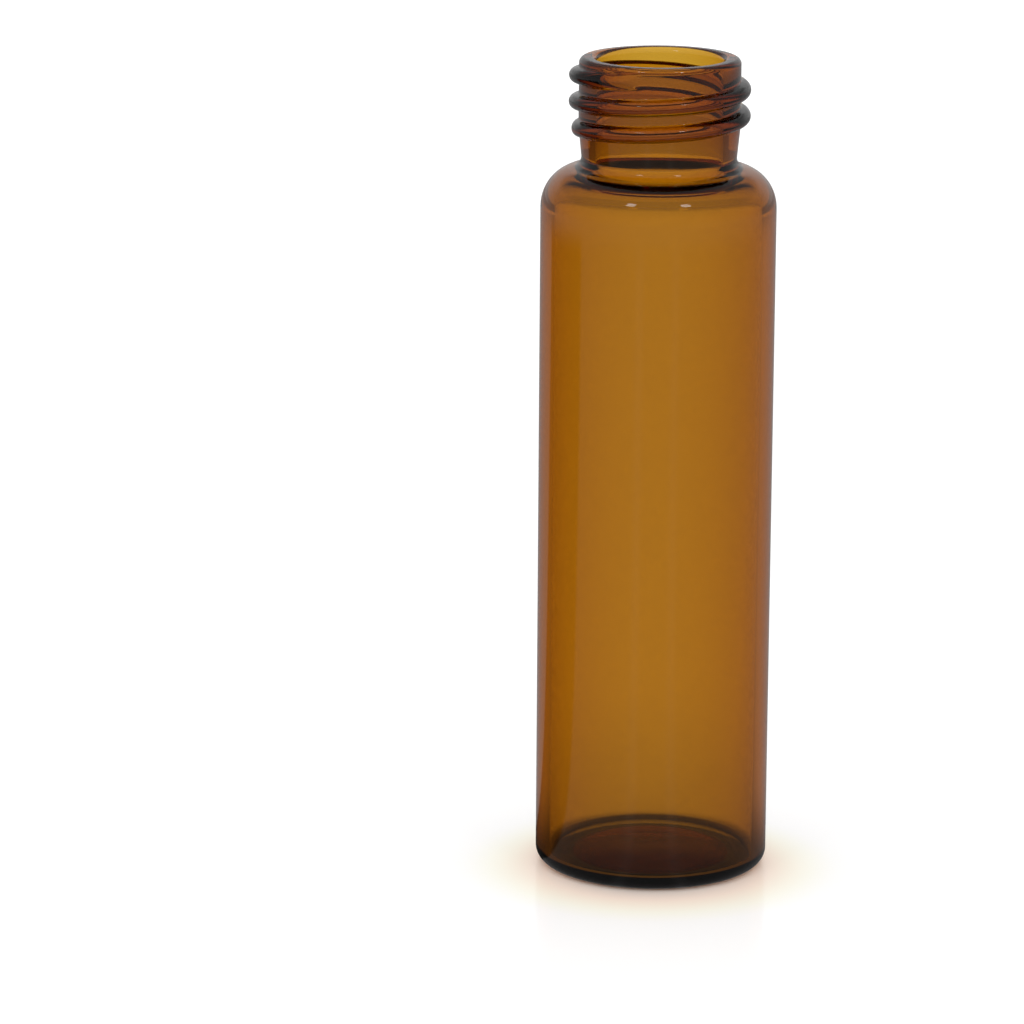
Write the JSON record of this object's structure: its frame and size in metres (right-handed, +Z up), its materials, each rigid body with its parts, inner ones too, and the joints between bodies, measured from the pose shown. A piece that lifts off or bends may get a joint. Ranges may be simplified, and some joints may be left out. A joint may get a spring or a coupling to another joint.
{
  "type": "glass sample vial",
  "caption": "Amber glass screw-neck sample vial, open at the mouth: round tube body, rounded shoulder, short threaded neck and a closed base.",
  "frame": {"origin": "centre of the foot ring, on the surface that the vial stands on", "axes": "+Z up along the vial's axis, from the base to the mouth; the thread's lower end starts 130 degrees from +X towards +Y"},
  "size_m": [0.019, 0.019, 0.0669],
  "materials": {
    "amber_glass": "clear amber borosilicate glass, smooth and fire-polished"
  },
  "bodies": {
    "root": {"vial": "amber_glass"}
  },
  "joints": []
}
